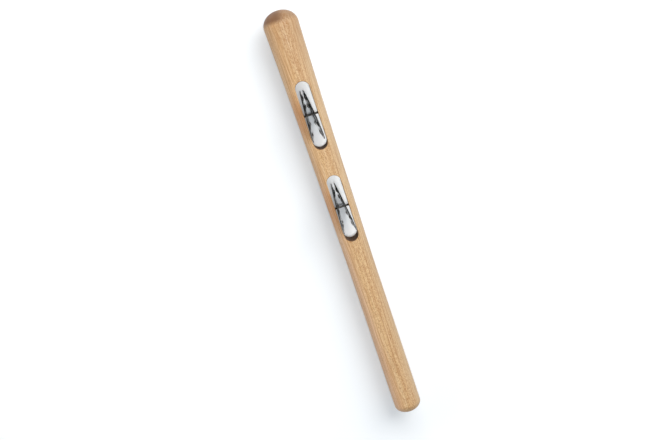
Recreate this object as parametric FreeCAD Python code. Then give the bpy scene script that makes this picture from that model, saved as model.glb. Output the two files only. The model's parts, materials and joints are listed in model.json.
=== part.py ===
"""Jingle stick: a turned beech baton with two slots, each crossed by a steel pin that carries two loose jingles.

Frame: +X along the stick towards the head, +Y along the pins, +Z up through the slots.
The stick lies on its jingles, and the origin is the centre of the bounding box's bottom face.
All sizes are in millimetres.
"""
import FreeCAD, Part
import math
import os

from FreeCAD import Vector

# ---- driving dimensions -------------------------------------------------------------------------

STICK_LENGTH = 400.0
HEAD_RADIUS = 16.4
HEAD_DOME_HEIGHT = 13.6
HEAD_DOME_FULLNESS = 0.57     # 0.55 is an ellipse; more is blunter
HANDLE_RADIUS = 12.65
BUTT_DOME_HEIGHT = 8.7
BUTT_DOME_FULLNESS = 0.55
TAPER_LENGTH = 232.0          # from the foot of the head's dome to the start of the handle
TAPER_LIFTS = (1.4, 1.06)     # the hollow taper's two middle control points, above the handle's radius

SLOT_LENGTH = 64.5
SLOT_WIDTH = 13.5
SLOT_EDGE_RADIUS = 0.5        # the sanded edge round each slot's mouth
HEAD_SLOT_X = 100.7           # centre of the slot nearer the head
HANDLE_SLOT_X = 10.1          # centre of the slot nearer the handle

PIN_END_RADIUS = 1.25         # in the wood, and up to the slot's walls
PIN_WAIST_RADIUS = 0.9        # between the walls, where the jingles ride
PIN_SHOULDER = 1.6            # the run from a slot wall down to the waist
PIN_SINK = 0.8                # how far the driven end sits below the wood
PIN_BLIND_END = 3.0           # wood left beyond the tip of the pin
BORE_MOUTH_RADIUS = 1.65      # the drill's flared mouth at each slot wall
BORE_MOUTH_DEPTH = 0.9

JINGLE_RADIUS = 24.5
SHEET_THICKNESS = 0.5
JINGLE_HOLE_RADIUS = 2.2
JINGLE_DROP = 0.8             # the jingle hangs this far towards the butt in its loose hole
BOSS_RADIUS = 5.5
BOSS_LIFT = 0.6               # heights are measured from the plane of the jingle's web
BOSS_FOOT_RADIUS = 8.5
WEB_SET_IN = 0.3              # the web lies this far inward of the jingle's own middle plane
LIP_START_RADIUS = 20.5
LIP_LIFT = 0.35
DIMPLE_COUNT = 6
DIMPLE_RING_RADIUS = 17.3
DIMPLE_RADIUS = 2.5
DIMPLE_DEPTH = 1.1

# Each jingle: the slot it is in, the side it is on, its distance from the slot's middle, the tilt that
# spreads its butt side, the roll that leans its top outward, and the turn of its ring of dimples.
JINGLES = {
    "head_jingle_left": (HEAD_SLOT_X, 1, 4.4, 3.3, 2.4, 0.0),
    "head_jingle_right": (HEAD_SLOT_X, -1, 2.1, 5.6, 3.2, 0.0),
    "handle_jingle_left": (HANDLE_SLOT_X, 1, 4.4, 3.3, 2.4, 30.0),
    "handle_jingle_right": (HANDLE_SLOT_X, -1, 2.85, 6.8, 2.2, 0.0),
}

# ---- worked out from them -----------------------------------------------------------------------

AXIS_HEIGHT = JINGLE_RADIUS
HEAD_TIP_X = STICK_LENGTH / 2
BUTT_TIP_X = -STICK_LENGTH / 2
HEAD_SHOULDER_X = HEAD_TIP_X - HEAD_DOME_HEIGHT
HANDLE_START_X = HEAD_SHOULDER_X - TAPER_LENGTH
BUTT_SHOULDER_X = BUTT_TIP_X + BUTT_DOME_HEIGHT

X_AXIS = Vector(1, 0, 0)
Y_AXIS = Vector(0, 1, 0)
Z_AXIS = Vector(0, 0, 1)
ORIGIN = Vector(0, 0, 0)


def taper_radii():
    """Radii of the taper's four evenly spaced control points, head first."""
    first, second = TAPER_LIFTS
    return HEAD_RADIUS, HANDLE_RADIUS + first, HANDLE_RADIUS + second, HANDLE_RADIUS


def stick_radius(x):
    """Radius of the stick between its two domes."""
    along = min(max((HEAD_SHOULDER_X - x) / TAPER_LENGTH, 0.0), 1.0)
    left = 1 - along
    weights = (left ** 3, 3 * along * left ** 2, 3 * along ** 2 * left, along ** 3)
    return sum(weight * radius for weight, radius in zip(weights, taper_radii()))


def taper_edge():
    """The hollow taper from the head's shoulder to the start of the handle."""
    poles = [Vector(HEAD_SHOULDER_X - TAPER_LENGTH * step / 3, 0, radius)
             for step, radius in enumerate(taper_radii())]
    curve = Part.BezierCurve()
    curve.setPoles(poles)
    return curve.toShape()


def dome_edge(shoulder_x, tip_x, radius, fullness):
    """Half the outline of a dome, level at the shoulder and square to the axis at the tip."""
    run = tip_x - shoulder_x
    poles = [Vector(shoulder_x, 0, radius), Vector(shoulder_x + fullness * run, 0, radius),
             Vector(tip_x, 0, fullness * radius), Vector(tip_x, 0, 0)]
    curve = Part.BezierCurve()
    curve.setPoles(poles)
    return curve.toShape()


def turned_blank():
    """The stick as it leaves the lathe: domed head, long hollow taper, plain handle, rounded butt."""
    handle_start = Vector(HANDLE_START_X, 0, HANDLE_RADIUS)
    butt_shoulder = Vector(BUTT_SHOULDER_X, 0, HANDLE_RADIUS)
    edges = [
        dome_edge(HEAD_SHOULDER_X, HEAD_TIP_X, HEAD_RADIUS, HEAD_DOME_FULLNESS),
        taper_edge(),
        Part.makeLine(handle_start, butt_shoulder),
        dome_edge(BUTT_SHOULDER_X, BUTT_TIP_X, HANDLE_RADIUS, BUTT_DOME_FULLNESS),
        Part.makeLine(Vector(BUTT_TIP_X, 0, 0), Vector(HEAD_TIP_X, 0, 0)),
    ]
    outline = Part.Wire(Part.__sortEdges__(edges))
    return Part.Face(outline).revolve(ORIGIN, X_AXIS, 360)


def slot_cutter(slot_x):
    """A slot with round ends, right through the stick along Z."""
    half_run = SLOT_LENGTH / 2 - SLOT_WIDTH / 2
    radius = SLOT_WIDTH / 2
    low = -HEAD_RADIUS - 5
    height = -2 * low
    middle = Part.makeBox(2 * half_run, SLOT_WIDTH, height, Vector(slot_x - half_run, -radius, low))
    ends = [Part.makeCylinder(radius, height, Vector(slot_x + side * half_run, 0, low), Z_AXIS)
            for side in (-1, 1)]
    return middle.fuse(ends).removeSplitter()


def ease_slot_edges(body, slot_x):
    """Round the edges where a slot breaks out of the stick's surface."""
    half_length = SLOT_LENGTH / 2 + 1
    edges = []
    for edge in body.Edges:
        box = edge.BoundBox
        inside = abs(box.Center.x - slot_x) < half_length and box.YMax < SLOT_WIDTH and box.YMin > -SLOT_WIDTH
        on_surface = box.ZMin > HANDLE_RADIUS / 2 or box.ZMax < -HANDLE_RADIUS / 2
        if inside and on_surface and box.XLength > 1:
            edges.append(edge)
    return body.makeFillet(SLOT_EDGE_RADIUS, edges)


def pin_ends(slot_x):
    """Y of the pin's blind end and of its driven end."""
    radius = stick_radius(slot_x)
    return radius - PIN_BLIND_END, -(radius - PIN_SINK)


def bore_cutter(slot_x):
    """The cross-drilled bore: open on the driven side, blind on the other, flared at both slot walls."""
    blind_y, _ = pin_ends(slot_x)
    open_y = -stick_radius(slot_x) - 2
    bore = Part.makeCylinder(PIN_END_RADIUS, blind_y - open_y, Vector(slot_x, open_y, 0), Y_AXIS)
    mouths = []
    for side in (-1, 1):
        wall = Vector(slot_x, side * (SLOT_WIDTH / 2), 0)
        mouths.append(Part.makeCone(BORE_MOUTH_RADIUS, PIN_END_RADIUS, BORE_MOUTH_DEPTH, wall, Y_AXIS * side))
    return bore.fuse(mouths)


def stick_body():
    body = turned_blank()
    for slot_x in (HEAD_SLOT_X, HANDLE_SLOT_X):
        body = body.cut(slot_cutter(slot_x))
    for slot_x in (HEAD_SLOT_X, HANDLE_SLOT_X):
        body = ease_slot_edges(body, slot_x)
    for slot_x in (HEAD_SLOT_X, HANDLE_SLOT_X):
        body = body.cut(bore_cutter(slot_x))
    body.translate(Vector(0, 0, AXIS_HEIGHT))
    return body.Solids[0]


def pin(slot_x):
    """A steel pin, waisted between the slot's walls, its driven end a little below the wood."""
    blind_y, driven_y = pin_ends(slot_x)
    wall = SLOT_WIDTH / 2
    waist = wall - PIN_SHOULDER
    outline = [(driven_y, 0), (driven_y, PIN_END_RADIUS), (-wall, PIN_END_RADIUS), (-waist, PIN_WAIST_RADIUS),
               (waist, PIN_WAIST_RADIUS), (wall, PIN_END_RADIUS), (blind_y, PIN_END_RADIUS), (blind_y, 0)]
    corners = [Vector(slot_x, y, AXIS_HEIGHT + radius) for y, radius in outline]
    face = Part.Face(Part.makePolygon(corners + corners[:1]))
    return face.revolve(Vector(slot_x, 0, AXIS_HEIGHT), Y_AXIS, 360)


def s_curve(start_r, start_w, end_r, end_w):
    """A smooth step between two heights of the jingle's sheet, level at both ends."""
    middle = (start_r + end_r) / 2
    poles = [Vector(start_r, start_w, 0), Vector(middle, start_w, 0),
             Vector(middle, end_w, 0), Vector(end_r, end_w, 0)]
    curve = Part.BezierCurve()
    curve.setPoles(poles)
    return curve.toShape()


def pressed_form(rim_margin):
    """Everything below one face of the sheet: boss, web, lip and dimples, out past the rim by a margin."""
    rim = JINGLE_RADIUS + rim_margin
    depth = -10.0
    edges = [
        Part.makeLine(Vector(0, BOSS_LIFT, 0), Vector(BOSS_RADIUS, BOSS_LIFT, 0)),
        s_curve(BOSS_RADIUS, BOSS_LIFT, BOSS_FOOT_RADIUS, 0),
        Part.makeLine(Vector(BOSS_FOOT_RADIUS, 0, 0), Vector(LIP_START_RADIUS, 0, 0)),
        s_curve(LIP_START_RADIUS, 0, JINGLE_RADIUS, LIP_LIFT),
    ]
    if rim_margin > 0:
        edges.append(Part.makeLine(Vector(JINGLE_RADIUS, LIP_LIFT, 0), Vector(rim, LIP_LIFT, 0)))
    edges.append(Part.makeLine(Vector(rim, LIP_LIFT, 0), Vector(rim, depth, 0)))
    edges.append(Part.makeLine(Vector(rim, depth, 0), Vector(0, depth, 0)))
    edges.append(Part.makeLine(Vector(0, depth, 0), Vector(0, BOSS_LIFT, 0)))
    form = Part.Face(Part.Wire(edges)).revolve(ORIGIN, Y_AXIS, 360)
    ball_radius = (DIMPLE_RADIUS ** 2 + DIMPLE_DEPTH ** 2) / (2 * DIMPLE_DEPTH)
    for index in range(DIMPLE_COUNT):
        angle = 2 * math.pi * index / DIMPLE_COUNT
        centre = Vector(DIMPLE_RING_RADIUS * math.cos(angle), ball_radius - DIMPLE_DEPTH,
                        DIMPLE_RING_RADIUS * math.sin(angle))
        form = form.cut(Part.makeSphere(ball_radius, centre))
    return form


def flat_jingle():
    """A pressed sheet-steel jingle about the Y axis: boss and lip towards +Y, dimples pushed towards -Y."""
    upper = pressed_form(0)
    upper.translate(Vector(0, SHEET_THICKNESS / 2 - WEB_SET_IN, 0))
    lower = pressed_form(1.0)
    lower.translate(Vector(0, -SHEET_THICKNESS / 2 - WEB_SET_IN, 0))
    hole = Part.makeCylinder(JINGLE_HOLE_RADIUS, 10, Vector(0, -5, 0), Y_AXIS)
    return upper.cut(lower).cut(hole).Solids[0]


def placed_jingle(flat, slot_x, side, offset, tilt, roll, turn):
    """Turn the jingle about its own axis, face it outward, roll it, tilt it and set it on its pin."""
    jingle = flat.copy()
    jingle.rotate(ORIGIN, Y_AXIS, turn)
    if side < 0:
        jingle.rotate(ORIGIN, Z_AXIS, 180)
    jingle.rotate(ORIGIN, X_AXIS, -side * roll)
    jingle.rotate(ORIGIN, Z_AXIS, -side * tilt)
    jingle.translate(Vector(slot_x - JINGLE_DROP, side * offset, AXIS_HEIGHT))
    return jingle


def build_parts():
    parts = {
        "stick_body": stick_body(),
        "head_pin": pin(HEAD_SLOT_X),
        "handle_pin": pin(HANDLE_SLOT_X),
    }
    flat = flat_jingle()
    for name, place in JINGLES.items():
        parts[name] = placed_jingle(flat, *place)
    return parts


os.makedirs("parts", exist_ok=True)
for node, shape in build_parts().items():
    shape.exportStep(f"parts/{node}.step")
    print(node, shape.ShapeType, shape.isValid(), round(shape.Volume, 2))
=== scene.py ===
"""The jingle stick's looks: lacquered beech, steel pins and nickel-plated jingles, in a pale studio."""

import json
import math

import bmesh
import bpy
import numpy as np
from mathutils import Matrix, Vector


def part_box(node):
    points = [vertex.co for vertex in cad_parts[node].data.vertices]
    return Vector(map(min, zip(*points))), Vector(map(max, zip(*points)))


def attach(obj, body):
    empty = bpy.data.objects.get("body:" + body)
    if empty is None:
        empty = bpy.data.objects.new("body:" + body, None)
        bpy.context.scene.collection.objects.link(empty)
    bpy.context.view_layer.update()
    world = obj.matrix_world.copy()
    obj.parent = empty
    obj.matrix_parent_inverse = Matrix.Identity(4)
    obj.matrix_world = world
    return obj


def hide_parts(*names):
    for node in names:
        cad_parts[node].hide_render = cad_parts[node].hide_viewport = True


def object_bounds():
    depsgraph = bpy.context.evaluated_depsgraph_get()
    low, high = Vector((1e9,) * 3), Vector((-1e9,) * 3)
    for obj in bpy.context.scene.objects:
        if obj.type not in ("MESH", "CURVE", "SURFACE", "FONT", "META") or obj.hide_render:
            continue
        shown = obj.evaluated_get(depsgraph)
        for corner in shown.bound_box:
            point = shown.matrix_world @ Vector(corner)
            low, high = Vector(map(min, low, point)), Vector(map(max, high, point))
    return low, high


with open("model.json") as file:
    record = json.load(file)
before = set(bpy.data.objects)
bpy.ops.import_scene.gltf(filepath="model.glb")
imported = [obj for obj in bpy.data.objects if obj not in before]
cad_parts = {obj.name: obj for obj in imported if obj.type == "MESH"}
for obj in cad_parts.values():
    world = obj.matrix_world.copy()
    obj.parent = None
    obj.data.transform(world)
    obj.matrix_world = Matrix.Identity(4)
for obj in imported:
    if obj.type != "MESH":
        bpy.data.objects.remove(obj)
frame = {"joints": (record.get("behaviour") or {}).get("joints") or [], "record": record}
cad_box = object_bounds()

MM = 0.001
JOINTS = {joint["name"]: joint for joint in frame["joints"]}

# ---- sizes, in millimetres ------------------------------------------------------------------------

SHEET = 0.5                   # jingle sheet
SHEET_EDGE = 0.13             # rounding of the sheet's cut edges
HOLE_RADIUS = 2.2
BOSS_RADIUS = 5.5
BOSS_LIFT = 0.6
BOSS_FOOT = 8.5
LIP_START = 20.5
LIP_END = 24.5
LIP_LIFT = 0.35
WEB_SET_IN = 0.3              # the web lies this far inward of the jingle's middle plane
DIMPLES = 6
DIMPLE_RING = 17.3
DIMPLE_RADIUS = 3.1
DIMPLE_DEPTH = 1.1
DENTS = 40                    # small marks of use on each jingle
DENT_RING = (8.0, 23.5)
DENT_SIZE = (1.2, 2.6)
DENT_LIFT = (-0.05, 0.03)

# Each jingle: its joint, the side of the slot, its roll and the turn of its dimples, in degrees.
JINGLES = {
    "head_jingle_left": ("head_left_rock", 1, 2.4, 0.0),
    "head_jingle_right": ("head_right_rock", -1, 3.2, 0.0),
    "handle_jingle_left": ("handle_left_rock", 1, 2.4, 30.0),
    "handle_jingle_right": ("handle_right_rock", -1, 2.2, 0.0),
}
FIRST_JINGLE_SEED = 5

PINS = {"head_pin": 11, "handle_pin": 23}     # each pin's seed, for its wear
PIN_CHAMFER = 0.25
PIN_WAIST = 0.9               # radius where the jingles ride
PIN_SHOULDER = 1.6            # the run from a slot wall down to the waist
PIN_RIDES = (-3.0, 4.2)       # where the two jingles have worn a pin
PIN_WEAR = 0.05

SLOT_WIDTH = 13.5
SLOT_LENGTH = 64.5
SLOT_CENTRES = [(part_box(pin)[0].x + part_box(pin)[1].x) / 2 / MM for pin in PINS]
AXIS_HEIGHT = cad_box[1][2] / MM / 2          # the stick's axis above the floor, half a jingle up
HALF_LENGTH = cad_box[1][0] / MM


# ---- a short way to write node materials ----------------------------------------------------------

class Nodes:
    """A material's node tree, with one small method for each kind of node used here."""

    def __init__(self, name):
        self.material = bpy.data.materials.new(name)
        self.material.use_nodes = True
        self.tree = self.material.node_tree
        self.tree.nodes.clear()
        self.output = self.tree.nodes.new("ShaderNodeOutputMaterial")
        self.shader = self.tree.nodes.new("ShaderNodeBsdfPrincipled")
        self.link(self.shader.outputs["BSDF"], self.output.inputs["Surface"])

    def link(self, source, socket):
        """Joins a socket to another, or sets it where the source is a plain value."""
        if isinstance(source, bpy.types.NodeSocket):
            self.tree.links.new(source, socket)
        elif isinstance(source, tuple) and socket.type == "RGBA":
            socket.default_value = (*source[:3], 1.0)
        else:
            socket.default_value = source

    def node(self, kind, inputs=(), **settings):
        made = self.tree.nodes.new(kind)
        for key, value in settings.items():
            setattr(made, key, value)
        for key, source in dict(inputs).items():
            self.link(source, made.inputs[key])
        return made

    def place(self):
        """Position in the object's own frame, in millimetres."""
        coords = self.node("ShaderNodeTexCoord").outputs["Object"]
        return self.vector("SCALE", coords, scale=1 / MM)

    def vector(self, operation, first, second=None, scale=None):
        made = self.node("ShaderNodeVectorMath", operation=operation)
        self.link(first, made.inputs[0])
        if second is not None:
            self.link(second, made.inputs[1])
        if scale is not None:
            self.link(scale, made.inputs["Scale"])
        return made.outputs["Value" if operation == "LENGTH" else "Vector"]

    def split(self, vector):
        return self.node("ShaderNodeSeparateXYZ", {"Vector": vector}).outputs

    def join(self, x, y, z):
        return self.node("ShaderNodeCombineXYZ", {"X": x, "Y": y, "Z": z}).outputs["Vector"]

    def math(self, operation, first, second=0.0, third=0.0):
        made = self.node("ShaderNodeMath", operation=operation)
        for socket, source in zip(made.inputs, (first, second, third)):
            self.link(source, socket)
        return made.outputs["Value"]

    def plus(self, first, second):
        return self.math("ADD", first, second)

    def times(self, *factors):
        product = factors[0]
        for factor in factors[1:]:
            product = self.math("MULTIPLY", product, factor)
        return product

    def highest(self, *values):
        best = values[0]
        for value in values[1:]:
            best = self.math("MAXIMUM", best, value)
        return best

    def noise(self, place, stretch=None, scale=1.0, detail=2.0, roughness=0.5):
        """Soft noise. Its cells are 1 / scale long, and shorter by stretch along each axis."""
        if stretch is not None:
            place = self.vector("MULTIPLY", place, stretch)
        made = self.node("ShaderNodeTexNoise", {
            "Vector": place, "Scale": scale, "Detail": detail, "Roughness": roughness, "Distortion": 0.0})
        return made.outputs["Fac"]

    def cells(self, place, stretch):
        """Distance from the middle of the nearest cell, and that cell's own colour."""
        made = self.node("ShaderNodeTexVoronoi", {
            "Vector": self.vector("MULTIPLY", place, stretch), "Scale": 1.0, "Randomness": 1.0})
        return made.outputs["Distance"], made.outputs["Color"]

    def ramp(self, value, low, high, out_low=0.0, out_high=1.0, smooth=True):
        """Maps low..high onto out_low..out_high, held level outside."""
        made = self.node("ShaderNodeMapRange", {
            "Value": value, "From Min": low, "From Max": high, "To Min": out_low, "To Max": out_high})
        made.interpolation_type = "SMOOTHSTEP" if smooth else "LINEAR"
        return made.outputs["Result"]

    def band(self, value, rise, fall):
        """1 between a rising slope and a falling one, each given by its two ends, and 0 outside them."""
        return self.times(self.ramp(value, *rise), self.ramp(value, *fall, 1.0, 0.0))

    def mix(self, share, first, second):
        made = self.node("ShaderNodeMix", data_type="RGBA", blend_type="MIX", clamp_factor=True)
        self.link(share, made.inputs[0])
        self.link(first, made.inputs[6])
        self.link(second, made.inputs[7])
        return made.outputs[2]

    def bump(self, height, depth_mm, strength, normal=None):
        made = self.node("ShaderNodeBump", {
            "Height": height, "Distance": depth_mm * MM, "Strength": strength})
        if normal is not None:
            self.link(normal, made.inputs["Normal"])
        return made.outputs["Normal"]

    def finish(self, **sockets):
        for name, source in sockets.items():
            self.link(source, self.shader.inputs[name.replace("_", " ")])
        return self.material


# ---- beech ----------------------------------------------------------------------------------------

BEECH_PALE = (0.662, 0.448, 0.226)
BEECH_MID = (0.600, 0.378, 0.178)
BEECH_DARK = (0.350, 0.160, 0.054)
# pale fibres, and painted light: the paler tone of the side facing the key lamp
PALE_FIBRE_AND_LIT_SIDE = (0.655, 0.492, 0.315)
# painted shade: the greyer tone of the side away from the key lamp
SHADED_SIDE_GREY = (0.630, 0.405, 0.305)
# painted shade: the darker brown of the head's end
HEAD_SHADE_BROWN = (0.440, 0.255, 0.125)
# painted shade: the redder tone of the side away from the key lamp, by the slots
SHADED_SIDE_RED = (0.500, 0.225, 0.090)
# the end grain's own darker tone, and painted shade on the domes
END_GRAIN_AND_SHADE_BROWN = (0.180, 0.086, 0.040)
RAY_BROWN = (0.230, 0.090, 0.028)
# painted shade for the slots' walls and round the pins
SLOT_SHADE_BROWN = (0.125, 0.066, 0.040)

PITH_DEPTH = 74.0             # the tree's heart lies this far below the stick's axis
PITH_ASIDE = 4.0
RING_WIDTH = 1.05
GRAIN_SLOPE = 0.021           # how far the grain climbs for each millimetre along the stick
WALL_SKIN = 0.06              # how far past the slot's outline still counts as its wall


def from_centre(nodes, x, centre):
    return nodes.math("ABSOLUTE", nodes.math("SUBTRACT", x, centre))


def slot_walls(nodes, x, y):
    """1 on the walls of the slots, 0 on the turned outside."""
    inside = nodes.math("LESS_THAN", nodes.math("ABSOLUTE", y), SLOT_WIDTH / 2 + WALL_SKIN)
    along = [nodes.math("LESS_THAN", from_centre(nodes, x, centre), SLOT_LENGTH / 2 + WALL_SKIN)
             for centre in SLOT_CENTRES]
    return nodes.times(inside, nodes.highest(*along))


def bore_mouth_shade(nodes, x, z):
    """Painted shade where the pins enter the walls: 1 close to the pins, falling to 0 a little outside the
    bores' flared mouths.
    """
    away = [nodes.vector("LENGTH", nodes.join(nodes.math("SUBTRACT", x, centre), 0.0, z))
            for centre in SLOT_CENTRES]
    return nodes.highest(*[nodes.ramp(distance, 1.3, 2.3, 1.0, 0.0) for distance in away])


def near_pins(nodes, x):
    """1 beside each pin, fading to 0 towards its slot's ends."""
    return nodes.highest(*[nodes.ramp(from_centre(nodes, x, centre), 5.0, 30.0, 1.0, 0.0)
                           for centre in SLOT_CENTRES])


def growth_rings(nodes, place, drift, waver):
    """The thin dark line at the end of each year's growth, and a tone of each year's own."""
    x, y, z = nodes.split(place)[:3]
    from_heart = nodes.join(0.0, nodes.plus(y, PITH_ASIDE), nodes.plus(z, PITH_DEPTH))
    climb = nodes.math("MULTIPLY_ADD", x, GRAIN_SLOPE, nodes.times(drift, 5.0))
    depth = nodes.plus(nodes.plus(nodes.vector("LENGTH", from_heart), climb), nodes.times(waver, 0.8))
    ring = nodes.math("FRACT", nodes.math("DIVIDE", depth, RING_WIDTH))
    late = nodes.band(ring, (0.45, 0.93), (0.95, 1.0))
    year = nodes.noise(nodes.join(nodes.times(depth, 0.45), 0.0, 0.0), detail=1.0)
    return late, year


def flecks(nodes, place, stretch, channel, smallest, sizes, fade):
    """Lens-shaped flecks, one in each stretched cell, sized by one channel of the cell's own colour."""
    distance, colour = nodes.cells(place, stretch)
    size = nodes.ramp(nodes.split(colour)[channel], smallest, 1.0, *sizes, smooth=False)
    return nodes.ramp(nodes.math("SUBTRACT", distance, size), -fade, 0.04, 1.0, 0.0)


def plain_beech(nodes, x, y, drift, cloud, year):
    """The wood's tone before any line or fleck, with painted light and shade: paler on the -Y side facing the
    key lamp, greyer and redder (most of all by the pins) on the +Y side away from it, and browner towards the
    head.
    """
    colour = nodes.mix(nodes.ramp(cloud, 0.3, 0.7), BEECH_PALE, BEECH_MID)
    # painted light: the -Y side, facing the key lamp, is paled as if in its light
    colour = nodes.mix(nodes.ramp(y, -12.0, 1.0, 0.80, 0.0), colour, PALE_FIBRE_AND_LIT_SIDE)
    # painted shade: a greyer tone on the +Y side, away from the key lamp, most of all towards the butt
    painted_shade_grey = nodes.times(nodes.ramp(y, 1.0, 11.0), nodes.ramp(x, -60.0, 90.0, 0.62, 0.20))
    colour = nodes.mix(painted_shade_grey, colour, SHADED_SIDE_GREY)
    colour = nodes.mix(nodes.ramp(year, 0.35, 0.65, 0.0, 0.35), colour, BEECH_MID)
    # painted shade: redder on the +Y side, away from the key lamp, most of all beside the pins
    painted_shade_red_side = nodes.ramp(nodes.plus(y, nodes.times(drift, 4.0)), 3.0, 12.0)
    red = nodes.times(painted_shade_red_side, nodes.math("MULTIPLY_ADD", near_pins(nodes, x), 0.70, 0.10))
    colour = nodes.mix(red, colour, SHADED_SIDE_RED)
    # painted shade: browner towards the head's end
    return nodes.mix(nodes.ramp(x, 110.0, 198.0, 0.0, 0.60), colour, HEAD_SHADE_BROWN)


def beech():
    """Lacquered steamed beech: faint growth rings, fine fibres, and the short dark flecks of its rays."""
    nodes = Nodes("lacquered_beech")
    place = nodes.vector("SUBTRACT", nodes.place(), (0.0, 0.0, AXIS_HEIGHT))
    x, y, z = nodes.split(place)[:3]
    normal = nodes.split(nodes.node("ShaderNodeNewGeometry").outputs["Normal"])
    facing = nodes.math("ABSOLUTE", normal[0])

    # the figure: rings, fibres, clouds of tone, the rays' short flecks and the pores
    drift = nodes.noise(place, (0.016, 0.05, 0.05), detail=2.0)
    waver = nodes.noise(place, (0.05, 0.16, 0.16), detail=3.0)
    late, year = growth_rings(nodes, place, drift, waver)
    fibre = nodes.noise(place, (0.010, 0.75, 0.75), detail=4.0, roughness=0.8)
    grain = nodes.noise(place, (0.60, 1.9, 1.9), detail=3.0, roughness=0.7)
    cloud = nodes.noise(place, (0.012, 0.09, 0.09), detail=3.0)
    warped = nodes.join(x, nodes.plus(y, nodes.times(waver, 1.4)), z)
    fleck = flecks(nodes, warped, (0.27, 1.0, 0.10), 0, 0.1, (0.05, 0.48), 0.14)
    fine_fleck = flecks(nodes, warped, (0.50, 2.2, 0.16), 1, 0.2, (0.0, 0.42), 0.12)
    pore = nodes.ramp(nodes.noise(place, (0.9, 6.0, 6.0), detail=2.0, roughness=0.6), 0.58, 0.72)
    from_middle = nodes.math("ABSOLUTE", nodes.plus(y, nodes.times(drift, 3.0)))
    middle = nodes.ramp(from_middle, 3.0, 9.0, 1.0, 0.25)

    # lines and flecks over the plain tone, then the end grain with painted shade over it, and a painted light
    # balance across the stick
    colour = plain_beech(nodes, x, y, drift, cloud, year)
    side_lines = nodes.math("MULTIPLY_ADD", middle, -0.20, 0.52)
    colour = nodes.mix(nodes.times(late, side_lines), colour, BEECH_DARK)
    colour = nodes.mix(nodes.ramp(fibre, 0.50, 0.58, 0.0, 0.46), colour, BEECH_DARK)
    colour = nodes.mix(nodes.ramp(fibre, 0.40, 0.49, 0.40, 0.0), colour, PALE_FIBRE_AND_LIT_SIDE)
    colour = nodes.mix(nodes.times(middle, nodes.ramp(grain, 0.52, 0.60, 0.0, 0.90)), colour, BEECH_DARK)
    colour = nodes.mix(nodes.times(middle, nodes.ramp(grain, 0.34, 0.46, 0.30, 0.0)), colour, PALE_FIBRE_AND_LIT_SIDE)
    colour = nodes.mix(nodes.times(fleck, middle, 0.30), colour, RAY_BROWN)
    colour = nodes.mix(nodes.times(fine_fleck, 0.40), colour, RAY_BROWN)
    colour = nodes.mix(nodes.times(pore, 0.20), colour, RAY_BROWN)
    # the end grain's own darker tone where the surface faces along the stick, plus painted shade: far
    # stronger on the +Y side, away from the key lamp, and towards the head
    shaded_end_side = nodes.ramp(nodes.plus(y, nodes.times(drift, 6.0)), -3.0, 7.0, 0.42, 1.0)
    end_grain_and_shade = nodes.times(nodes.ramp(facing, 0.05, 0.52), shaded_end_side, nodes.ramp(x, -100.0, 100.0, 0.12, 1.0))
    colour = nodes.mix(end_grain_and_shade, colour, END_GRAIN_AND_SHADE_BROWN)
    # painted light balance: the -Y side, lit by the key lamp, is darkened a little and the +Y side, in its
    # shade, lightened
    tone = nodes.times(nodes.ramp(y, -12.0, 0.0, 0.92, 1.0), nodes.ramp(y, -1.0, 9.0, 1.0, 1.24))
    colour = nodes.vector("MULTIPLY", colour, nodes.join(tone, tone, tone))

    # the slots' walls darkened as painted shade, most of all on the end walls across the grain, partly the
    # end grain's own darker tone; and painted shade round the pins
    wall = slot_walls(nodes, x, y)
    below_edge = nodes.ramp(nodes.math("ABSOLUTE", normal[2]), 0.10, 0.35, 1.0, 0.0)
    across_grain = nodes.ramp(facing, 0.1, 0.75, 0.10, 0.90)
    patches = nodes.ramp(nodes.noise(place, (0.25, 0.25, 0.5), detail=3.0), 0.25, 0.6, 0.8, 1.0)
    colour = nodes.mix(nodes.times(wall, below_edge, across_grain, patches), colour, SLOT_SHADE_BROWN)
    colour = nodes.mix(nodes.times(wall, bore_mouth_shade(nodes, x, z), 0.85), colour, SLOT_SHADE_BROWN)

    gloss = nodes.noise(place, (0.08, 0.5, 0.5), detail=3.0)
    rough = nodes.plus(nodes.ramp(gloss, 0.3, 0.7, 0.44, 0.58), nodes.times(fleck, 0.07))
    rough = nodes.plus(rough, nodes.times(wall, 0.25))
    height = nodes.math("SUBTRACT", nodes.times(fibre, 0.5), nodes.times(pore, 0.5))
    height = nodes.math("SUBTRACT", height, nodes.times(fleck, 0.35))
    shine = nodes.math("MULTIPLY_ADD", wall, -0.32, 0.38)
    return nodes.finish(Base_Color=colour, Roughness=rough, Normal=nodes.bump(height, 0.06, 0.7),
                        Specular_IOR_Level=shine, Coat_Weight=0.06, Coat_Roughness=0.4, IOR=1.45)


# ---- metals and paper -----------------------------------------------------------------------------

NICKEL_BRIGHT = (0.88, 0.875, 0.86)
NICKEL_GREY = (0.68, 0.675, 0.66)
NICKEL_WORN = (0.45, 0.44, 0.43)
# tarnished hollows, and painted dark reflection in the hollows and blotches
TARNISH_AND_DARK_REFLECTION = (0.022, 0.020, 0.018)
SPECK_DARK = (0.04, 0.036, 0.032)
# painted dark reflection along the jingles' rims
RIM_DARK = (0.03, 0.028, 0.026)
PIN_GREY = (0.07, 0.065, 0.06)
PIN_DARK = (0.04, 0.037, 0.034)
# patchy brown film, and painted shade at the pin's ends
PIN_BROWN = (0.030, 0.021, 0.016)
# bluish near the stick: a painted tint for its shadow
PAPER_NEAR = ((0.865, 0.885, 0.905), (0.88, 0.90, 0.92))
# whiter away from the stick: painted light making up for the lamps' falloff
PAPER_FAR = (0.975, 0.97, 0.965)


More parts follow.
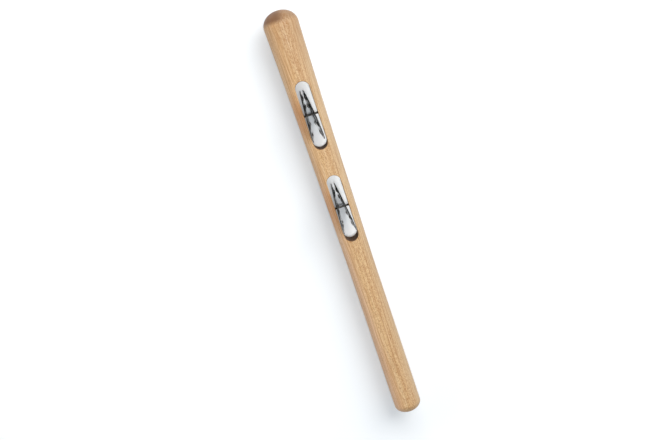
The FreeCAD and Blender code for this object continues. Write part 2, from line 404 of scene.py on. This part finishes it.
def jingle_metal():
    """Nickel-plated steel: spun in fine rings and specked, near black in the hollows and in blotches, partly
    tarnished and partly painted dark reflection, with a painted dark rim.
    """
    nodes = Nodes("nickel_plated_sheet")
    place = nodes.place()
    x, _, z = nodes.split(place)[:3]
    radius = nodes.vector("LENGTH", nodes.join(x, 0.0, z))
    blotch = nodes.noise(place, scale=0.22, detail=4.0, roughness=0.6)
    speck = nodes.noise(place, scale=2.1, detail=3.0, roughness=0.6)
    spun = nodes.noise(nodes.join(nodes.times(radius, 3.2), 0.0, 0.0), detail=3.0, roughness=0.7)

    boss_foot = nodes.band(radius, (5.8, 8.2), (8.6, 10.5))
    lip_crease = nodes.band(radius, (18.6, 20.4), (21.2, 22.6))
    hole_edge = nodes.ramp(radius, 2.2, 3.4, 1.0, 0.0)
    boss_crest = nodes.band(radius, (5.0, 5.4), (5.5, 5.9))
    rim = nodes.ramp(radius, 23.0, 23.4)
    hollow = nodes.highest(boss_foot, lip_crease, hole_edge)
    # partly tarnished hollows, partly painted dark reflection: the boss's foot, the lip's crease, the hole's
    # edge and some blotches go near black, standing in for the dark surroundings the sheet reflects
    tarnish_and_dark_reflection = nodes.times(hollow, nodes.ramp(blotch, 0.28, 0.52, 0.55, 1.0))
    tarnish_and_dark_reflection = nodes.highest(tarnish_and_dark_reflection, nodes.ramp(blotch, 0.56, 0.70, 0.0, 0.62))
    crest_wear = nodes.times(boss_crest, nodes.ramp(blotch, 0.35, 0.60, 0.0, 0.5))

    colour = nodes.mix(nodes.ramp(spun, 0.3, 0.7), NICKEL_BRIGHT, NICKEL_GREY)
    colour = nodes.mix(nodes.times(tarnish_and_dark_reflection, 0.92), colour, TARNISH_AND_DARK_REFLECTION)
    colour = nodes.mix(nodes.ramp(speck, 0.62, 0.78, 0.0, 0.45), colour, SPECK_DARK)
    colour = nodes.mix(crest_wear, colour, NICKEL_WORN)
    # painted dark reflection: the outer rim is coloured near black, as a dark outline
    colour = nodes.mix(rim, colour, RIM_DARK)
    rough = nodes.plus(nodes.ramp(blotch, 0.3, 0.7, 0.13, 0.22), nodes.times(tarnish_and_dark_reflection, 0.22))
    bump = nodes.bump(speck, 0.01, 0.4, nodes.bump(spun, 0.012, 0.5))
    tint = nodes.math("MULTIPLY_ADD", nodes.highest(tarnish_and_dark_reflection, rim), -0.90, 1.0)
    return nodes.finish(Base_Color=colour, Roughness=rough, Normal=bump, Metallic=1.0,
                        Specular_Tint=nodes.join(tint, tint, tint))


def pin_metal():
    """Drawn steel wire under a patchy brown film, with painted shade at its ends, where it enters the slot's
    walls.
    """
    nodes = Nodes("drawn_steel_pin")
    place = nodes.place()
    y = nodes.split(place)[1]
    lines = nodes.noise(place, (6.0, 0.15, 6.0), detail=3.0, roughness=0.7)
    film = nodes.noise(place, scale=0.7, detail=4.0, roughness=0.6)
    # painted shade: darker towards the slot's walls, where the pin enters its bores
    ends = nodes.ramp(nodes.math("ABSOLUTE", y), 4.4, 6.6)
    brown = nodes.highest(ends, nodes.ramp(film, 0.42, 0.66, 0.1, 0.7))
    colour = nodes.mix(nodes.ramp(lines, 0.3, 0.7), PIN_GREY, PIN_DARK)
    colour = nodes.mix(brown, colour, PIN_BROWN)
    return nodes.finish(Base_Color=colour, Roughness=nodes.ramp(film, 0.3, 0.7, 0.28, 0.48),
                        Normal=nodes.bump(lines, 0.02, 0.6), Metallic=1.0)


def floor_paper():
    """Matt white studio paper, bluer near the stick as a painted tint for its shadow, and whiter away from it
    as painted light that makes up for the lamps' falloff.
    """
    nodes = Nodes("studio_paper")
    place = nodes.place()
    x, y = nodes.split(place)[:2]
    tooth = nodes.noise(place, scale=0.9, detail=3.0)
    sheet = nodes.noise(place, scale=0.004, detail=2.0)
    past_end = nodes.highest(nodes.math("SUBTRACT", nodes.math("ABSOLUTE", x), HALF_LENGTH), 0.0)
    away = nodes.vector("LENGTH", nodes.join(nodes.times(past_end, 2.0), y, 0.0))
    colour = nodes.mix(nodes.ramp(sheet, 0.3, 0.7), *PAPER_NEAR)
    # painted light: whiter away from the stick, where the lamps' light falls off
    colour = nodes.mix(nodes.ramp(away, 30.0, 170.0), colour, PAPER_FAR)
    return nodes.finish(Base_Color=colour, Roughness=0.9, Normal=nodes.bump(tooth, 0.03, 0.3))


# ---- jingles --------------------------------------------------------------------------------------

def smooth_step(value, low, high):
    share = np.clip((value - low) / (high - low), 0.0, 1.0)
    return share * share * (3 - 2 * share)


def jingle_height(radius, angle, rng):
    """Height of the sheet's middle surface, outward, at a grid of radii and angles."""
    height = -WEB_SET_IN + BOSS_LIFT * (1 - smooth_step(radius, BOSS_RADIUS, BOSS_FOOT))
    height = height + LIP_LIFT * smooth_step(radius, LIP_START, LIP_END)
    x = radius * np.cos(angle)
    z = radius * np.sin(angle)
    for index in range(DIMPLES):
        turn = 2 * math.pi * index / DIMPLES
        away = np.hypot(x - DIMPLE_RING * math.cos(turn), z - DIMPLE_RING * math.sin(turn))
        cup = np.clip(1 - (away / DIMPLE_RADIUS) ** 2, 0.0, 1.0) ** 1.5
        height = height - DIMPLE_DEPTH * cup
    for _ in range(DENTS):
        ring = rng.uniform(*DENT_RING)
        turn = rng.uniform(0, 2 * math.pi)
        size = rng.uniform(*DENT_SIZE)
        away = np.hypot(x - ring * math.cos(turn), z - ring * math.sin(turn))
        height = height + rng.uniform(*DENT_LIFT) * np.exp(-(away / size) ** 2)
    return height


def jingle_mesh(name, rim_radius, seed):
    """A pressed disc about its own Y axis, outward +Y, with a punched hole, boss, dimples and lip."""
    rings = 58
    turns = 192
    rng = np.random.default_rng(seed)
    radii = np.linspace(HOLE_RADIUS, rim_radius, rings)[:, None]
    angles = (np.arange(turns) * 2 * math.pi / turns)[None, :]
    height = jingle_height(radii + 0 * angles, angles + 0 * radii, rng)
    x = radii * np.cos(angles)
    z = radii * np.sin(angles)
    points = np.stack([x, height, z], axis=-1).reshape(-1, 3) * MM
    faces = []
    for ring in range(rings - 1):
        for turn in range(turns):
            after = (turn + 1) % turns
            low = ring * turns
            high = low + turns
            faces.append((low + turn, low + after, high + after, high + turn))
    mesh = bpy.data.meshes.new(name)
    mesh.from_pydata(points.tolist(), [], faces)
    mesh.polygons.foreach_set("use_smooth", [True] * len(faces))
    mesh.update()
    return mesh


def add_jingle(node, joint_name, side, roll, turn, seed, material):
    """Puts a jingle on its joint's axis, tilted by half the joint's range, as it hangs at rest."""
    joint = JOINTS[joint_name]
    tilt = joint["range_deg"][1] / 2
    low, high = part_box(node)
    rim_radius = (high.z - low.z) / 2 / MM / math.cos(math.radians(roll))
    mesh = jingle_mesh(node, rim_radius, seed)
    mesh.transform(Matrix.Rotation(math.radians(turn), 4, "Y"))
    piece = bpy.data.objects.new(node + "_pressed", mesh)
    bpy.context.scene.collection.objects.link(piece)
    face_out = Matrix.Identity(4) if side > 0 else Matrix.Rotation(math.pi, 4, "Z")
    lean = Matrix.Rotation(math.radians(-side * roll), 4, "X")
    spread = Matrix.Rotation(math.radians(-side * tilt), 4, "Z")
    centre = Vector(joint["pos_m"])
    piece.matrix_world = Matrix.Translation(centre) @ spread @ lean @ face_out
    sheet = piece.modifiers.new("sheet", "SOLIDIFY")
    sheet.thickness = SHEET * MM
    sheet.offset = 0.0
    edge = piece.modifiers.new("edge", "BEVEL")
    edge.width = SHEET_EDGE * MM
    edge.segments = 2
    edge.limit_method = "ANGLE"
    edge.angle_limit = math.radians(50)
    piece.data.materials.append(material)
    bodies = frame["record"]["behaviour"]["bodies"]
    body = next(body for body, members in bodies.items() if node in members)
    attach(piece, body)
    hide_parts(node)


# ---- the stick ------------------------------------------------------------------------------------

EASE = 0.6                    # the sanded edge round each slot's mouth
HEAD_DOME = 13.6
BUTT_DOME = 8.7
TAPER_LENGTH = 232.0
TAPER_LIFTS = (1.4, 1.06)     # the hollow taper's two middle control points, above the handle's radius
HEAD_FULLNESS = 0.57          # 0.55 is an ellipse; more is blunter
BUTT_FULLNESS = 0.55
BORE_MOUTH = 1.65             # radius of the bore's flare where it meets the slot's wall
BORE_MOUTH_DEPTH = 0.9
BORE_OVERRUN = 2.0            # how far the bore's cutter starts outside the wood
BORE_POINTS = 40
ROUND_POINTS = 56             # round half of the stick
EASE_POINTS = 4
WALL_POINTS = 12
STATION_GAP = 3.0             # between stations on the plain wood
BUTT_STATIONS = 26
HEAD_STATIONS = 34
SLOT_END_STATIONS = 25
SLOT_RUN_STATIONS = 26
WELD = 2e-6                   # metres; points nearer than this are one


class Turned:
    """The stick's outline, read from the CAD, and the stations along it where rings of points go.

    A station is a function of how far outside the slot's outline it is taken. It gives the place along the
    stick, the half-width of the slot there and the stick's radius.
    """

    def __init__(self):
        low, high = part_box("stick_body")
        handle = next(mount for mount in frame["record"]["mounts"] if mount["name"] == "handle")
        self.head_tip = high.x / MM
        self.butt_tip = low.x / MM
        self.head_radius = (high.y - low.y) / 2 / MM
        self.handle_radius = handle["dims"]["r_mm"]
        self.head_shoulder = self.head_tip - HEAD_DOME
        self.butt_shoulder = self.butt_tip + BUTT_DOME
        self.handle_start = self.head_shoulder - TAPER_LENGTH

    def radius(self, x):
        """The wood's radius between the two shoulders: a cubic curve down the taper, then the handle."""
        along = min(max((self.head_shoulder - x) / TAPER_LENGTH, 0.0), 1.0)
        left = 1 - along
        lifts = (self.head_radius - self.handle_radius, TAPER_LIFTS[0], TAPER_LIFTS[1])
        weights = (left ** 3, 3 * along * left ** 2, 3 * along ** 2 * left)
        return self.handle_radius + sum(weight * lift for weight, lift in zip(weights, lifts))

    def plain(self, x, radius=None):
        """A station clear of the slots, on the taper or the handle unless its radius is given."""
        here = self.radius(x) if radius is None else radius
        return lambda grow: (x, 0.0, here)

    def slotted(self, centre, along, turn):
        """A station on the slot's straight run, or round one of its ends where turn is given."""
        def station(grow):
            reach = SLOT_WIDTH / 2 + grow
            x = centre + along + (0.0 if turn is None else reach * math.cos(turn))
            half_width = reach if turn is None else reach * math.sin(turn)
            return x, max(half_width, 0.0), self.radius(x)
        return station

    def dome(self, shoulder, tip, radius, fullness, count):
        """Stations from a shoulder to a tip, along a cubic curve square to the axis at the tip."""
        made = []
        for t in np.sin(np.linspace(0, math.pi / 2, count)):
            u = 1 - t
            reach = 3 * fullness * u * u * t + 3 * u * t * t + t ** 3
            rise = u ** 3 + 3 * u * u * t + 3 * fullness * u * t * t
            made.append(self.plain(shoulder + reach * (tip - shoulder), radius * rise))
        return made

    def stretch(self, start, end):
        """Plain stations between two places, neither of them included."""
        places = set(np.linspace(start, end, max(3, int((end - start) / STATION_GAP)))[1:-1].tolist())
        if start < self.handle_start < end:
            places.add(self.handle_start)
        return [self.plain(x) for x in sorted(places)]

    def slot(self, centre):
        half_run = (SLOT_LENGTH - SLOT_WIDTH) / 2
        turns = np.linspace(0, math.pi / 2, SLOT_END_STATIONS)
        butt_end = [self.slotted(centre, -half_run, math.pi - turn) for turn in turns]
        run = np.linspace(-half_run, half_run, SLOT_RUN_STATIONS)[1:-1]
        straight = [self.slotted(centre, x, None) for x in run]
        head_end = [self.slotted(centre, half_run, turn) for turn in turns[::-1]]
        return butt_end + straight + head_end

    def runs(self):
        """Runs of stations from the butt to the head: (stations, whether they cross a slot)."""
        reach = SLOT_LENGTH / 2 + EASE
        butt = self.dome(self.butt_shoulder, self.butt_tip, self.handle_radius, BUTT_FULLNESS, BUTT_STATIONS)
        plain = butt[::-1]
        here = self.butt_shoulder
        made = []
        for centre in sorted(SLOT_CENTRES):
            made.append((plain + self.stretch(here, centre - reach), False))
            made.append((self.slot(centre), True))
            plain = []
            here = centre + reach
        plain = self.stretch(here, self.head_shoulder)
        plain += self.dome(self.head_shoulder, self.head_tip, self.head_radius, HEAD_FULLNESS, HEAD_STATIONS)
        made.append((plain, False))
        return made


def surface_point(station, grow, side):
    """The point on the turned surface, right at the slot's outline grown by the given amount."""
    x, half_width, radius = station(grow)
    return np.array([x, side * half_width, math.sqrt(max(radius ** 2 - half_width ** 2, 0.0))])


def outer_column(station, side):
    """Points round one half of the stick, from the top edge of the slot to the bottom one."""
    x, half_width, radius = station(EASE)
    edge = math.asin(min(half_width / radius, 1.0)) if radius > 0 else 0.0
    angles = np.linspace(edge, math.pi - edge, ROUND_POINTS)
    return [np.array([x, side * radius * math.sin(angle), radius * math.cos(angle)]) for angle in angles]


def wall_column(station, side):
    """Points over the eased edge, down the slot's wall and out over the other eased edge."""
    outside = surface_point(station, EASE, side)
    corner = surface_point(station, 0.0, side)
    inside = corner - np.array([0, 0, EASE * 1.1])
    shares = np.linspace(0, 1, EASE_POINTS + 1)
    top = [outside * (1 - t) ** 2 + 2 * corner * t * (1 - t) + inside * t ** 2 for t in shares]
    wall = [inside * np.array([1, 1, 1 - 2 * t]) for t in np.linspace(0, 1, WALL_POINTS)[1:-1]]
    flip = np.array([1, 1, -1])
    return top + wall + [point * flip for point in top[::-1]]


def sheet_of_columns(columns, points, faces):
    """Adds the points of neighbouring columns and the faces between them."""
    start = len(points)
    size = len(columns[0])
    for column in columns:
        points.extend(column)
    for row in range(len(columns) - 1):
        for step in range(size - 1):
            corner = start + row * size + step
            faces.append((corner, corner + 1, corner + size + 1, corner + size))


def mesh_object(name, points, faces):
    """A welded, smooth mesh with its faces outward, from points in millimetres."""
    form = bmesh.new()
    made = [form.verts.new(Vector(point) * MM) for point in points]
    for face in faces:
        form.faces.new([made[index] for index in face])
    bmesh.ops.remove_doubles(form, verts=form.verts, dist=WELD)
    bmesh.ops.dissolve_degenerate(form, edges=form.edges, dist=1e-7)
    bmesh.ops.recalc_face_normals(form, faces=form.faces)
    for face in form.faces:
        face.smooth = True
    mesh = bpy.data.meshes.new(name)
    form.to_mesh(mesh)
    form.free()
    piece = bpy.data.objects.new(name, mesh)
    bpy.context.scene.collection.objects.link(piece)
    return piece


def lathe(name, stations, turns, axis_place):
    """A closed form turned about a line along Y, from (y, radius) stations whose two ends lie on it."""
    points = []
    faces = []
    columns = []
    for y, radius in stations:
        angles = np.linspace(0, 2 * math.pi, turns + 1)
        columns.append([(radius * math.cos(a) + axis_place[0], y, radius * math.sin(a) + axis_place[1])
                        for a in angles])
    sheet_of_columns(columns, points, faces)
    return mesh_object(name, points, faces)


def bore_cutter(turned, pin):
    """The cross-drilled bore, from outside the driven side to its blind end, flared at the slot's walls."""
    low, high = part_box(pin)
    radius = (high.x - low.x) / 2 / MM
    x = (high.x + low.x) / 2 / MM
    wall = SLOT_WIDTH / 2
    start = -turned.radius(x) - BORE_OVERRUN
    blind = high.y / MM
    stations = [(start, 0.0), (start, radius), (-wall - BORE_MOUTH_DEPTH, radius), (-wall, BORE_MOUTH),
                (wall, BORE_MOUTH), (wall + BORE_MOUTH_DEPTH, radius), (blind, radius), (blind, 0.0)]
    return lathe("bore_cutter", stations, BORE_POINTS, (x, AXIS_HEIGHT))


def cut(piece, cutter):
    """Takes the cutter's form out of the piece for good."""
    step = piece.modifiers.new("bore", "BOOLEAN")
    step.operation = "DIFFERENCE"
    step.solver = "EXACT"
    step.object = cutter
    bpy.context.view_layer.update()
    evaluated = piece.evaluated_get(bpy.context.evaluated_depsgraph_get())
    finished = bpy.data.meshes.new_from_object(evaluated)
    piece.modifiers.clear()
    piece.data = finished
    bpy.data.objects.remove(cutter)


def add_stick(material):
    """The turned stick: a smooth lathe form with eased slots and the pins' bores."""
    turned = Turned()
    lift = np.array([0, 0, AXIS_HEIGHT])
    points = []
    faces = []
    for side in (-1, 1):
        columns = []
        for stations, crosses_slot in turned.runs():
            columns += [outer_column(station, side) for station in stations]
            if crosses_slot:
                sheet_of_columns([wall_column(station, side) for station in stations], points, faces)
        sheet_of_columns(columns, points, faces)
    piece = mesh_object("stick_turned", [point + lift for point in points], faces)
    for pin in PINS:
        cut(piece, bore_cutter(turned, pin))
    piece.data.materials.append(material)
    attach(piece, "stick")
    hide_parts("stick_body")


# ---- pins -----------------------------------------------------------------------------------------

def add_pin(node, seed, material):
    """A steel pin with chamfered ends, waisted between the slot's walls and worn where the jingles ride."""
    low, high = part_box(node)
    radius = (high.x - low.x) / 2 / MM
    place = ((high.x + low.x) / 2 / MM, (high.z + low.z) / 2 / MM)
    start = low.y / MM
    end = high.y / MM
    rng = np.random.default_rng(seed)
    stations = [(start, 0.0), (start, radius - PIN_CHAMFER), (start + PIN_CHAMFER, radius)]
    for y in np.arange(start + 1.0, end - 0.9, 0.35):
        wear = PIN_WEAR * sum(math.exp(-((y - ride) / 1.1) ** 2) for ride in PIN_RIDES)
        share = min(max((SLOT_WIDTH / 2 - abs(y)) / PIN_SHOULDER, 0.0), 1.0)
        here = radius + (PIN_WAIST - radius) * share
        stations.append((float(y), here - wear - rng.uniform(0, 0.006)))
    stations += [(end - PIN_CHAMFER, radius), (end, radius - PIN_CHAMFER), (end, 0.0)]
    piece = lathe(node + "_drawn", stations, 48, place)
    piece.data.materials.append(material)
    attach(piece, "stick")
    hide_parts(node)


# ---- the object -----------------------------------------------------------------------------------

def build_object():
    add_stick(beech())
    pin_steel = pin_metal()
    for node, seed in PINS.items():
        add_pin(node, seed, pin_steel)
    nickel = jingle_metal()
    for seed, (node, place) in enumerate(JINGLES.items(), start=FIRST_JINGLE_SEED):
        add_jingle(node, *place, seed, nickel)


# ---- the studio -----------------------------------------------------------------------------------

CAMERA_HEIGHT = 1053.8        # above the stick's axis
CAMERA_X = 178.8
CAMERA_Y = 9.25
CAMERA_TILT = 9.64            # of the line of sight, off the vertical, towards the butt
STICK_LEAN = 18.60            # of the stick on the picture, off the upright
LENS = 61.1

FLOOR_HALF = 6.0              # metres
FLOOR_DROP = 0.0002           # keeps the floor just clear of the jingles' lowest points


def add_camera():
    """The photographer's view: from above the head's end, looking down and a little towards the butt."""
    data = bpy.data.cameras.new("camera")
    data.lens = LENS
    data.sensor_width = 36.0
    data.clip_start = 0.01
    data.clip_end = 20.0
    camera = bpy.data.objects.new("camera", data)
    bpy.context.scene.collection.objects.link(camera)
    tilt = math.radians(CAMERA_TILT)
    lean = math.radians(STICK_LEAN)
    back = Vector((math.sin(tilt), 0, math.cos(tilt)))
    ahead = Vector((math.cos(tilt), 0, -math.sin(tilt)))
    aside = Vector((0, 1, 0))
    right = -math.sin(lean) * ahead - math.cos(lean) * aside
    up = math.cos(lean) * ahead - math.sin(lean) * aside
    turn = Matrix((right, up, back)).transposed().to_4x4()
    place = Vector((CAMERA_X, CAMERA_Y, CAMERA_HEIGHT + AXIS_HEIGHT)) * MM
    camera.matrix_world = Matrix.Translation(place) @ turn
    bpy.context.scene.camera = camera


def add_floor():
    corners = [(x * FLOOR_HALF, y * FLOOR_HALF, 0) for x, y in ((-1, -1), (1, -1), (1, 1), (-1, 1))]
    mesh = bpy.data.meshes.new("floor")
    mesh.from_pydata(corners, [], [(0, 1, 2, 3)])
    floor = bpy.data.objects.new("floor", mesh)
    bpy.context.scene.collection.objects.link(floor)
    floor.location.z = -FLOOR_DROP
    mesh.materials.append(floor_paper())


def add_light(name, place, size, power, colour):
    """A round soft lamp, turned towards the stick's middle. Places and sizes are in metres."""
    data = bpy.data.lights.new(name, "AREA")
    data.shape = "DISK"
    data.size = size
    data.energy = power
    data.color = colour
    light = bpy.data.objects.new(name, data)
    bpy.context.scene.collection.objects.link(light)
    place = Vector(place)
    turn = place.to_track_quat("Z", "Y").to_matrix().to_4x4()
    light.matrix_world = Matrix.Translation(place) @ turn


def add_world(colour, strength):
    world = bpy.data.worlds.new("studio")
    world.use_nodes = True
    background = world.node_tree.nodes["Background"]
    background.inputs["Color"].default_value = (*colour, 1.0)
    background.inputs["Strength"].default_value = strength
    bpy.context.scene.world = world


def build_studio():
    add_camera()
    add_floor()
    add_light("key", (0.85, -0.96, 1.43), 1.5, 25.6, (1.0, 0.982, 0.955))
    add_light("beyond_head", (1.50, -0.15, 1.20), 0.7, 5.5, (1.0, 0.995, 0.985))
    add_light("overhead", (0.15, 0.01, 1.90), 0.18, 15.0, (0.96, 0.985, 1.0))
    add_world((0.85, 0.93, 1.0), 0.32)
    bpy.context.scene.view_settings.view_transform = "Standard"


build_object()
build_studio()
bpy.context.view_layer.update()
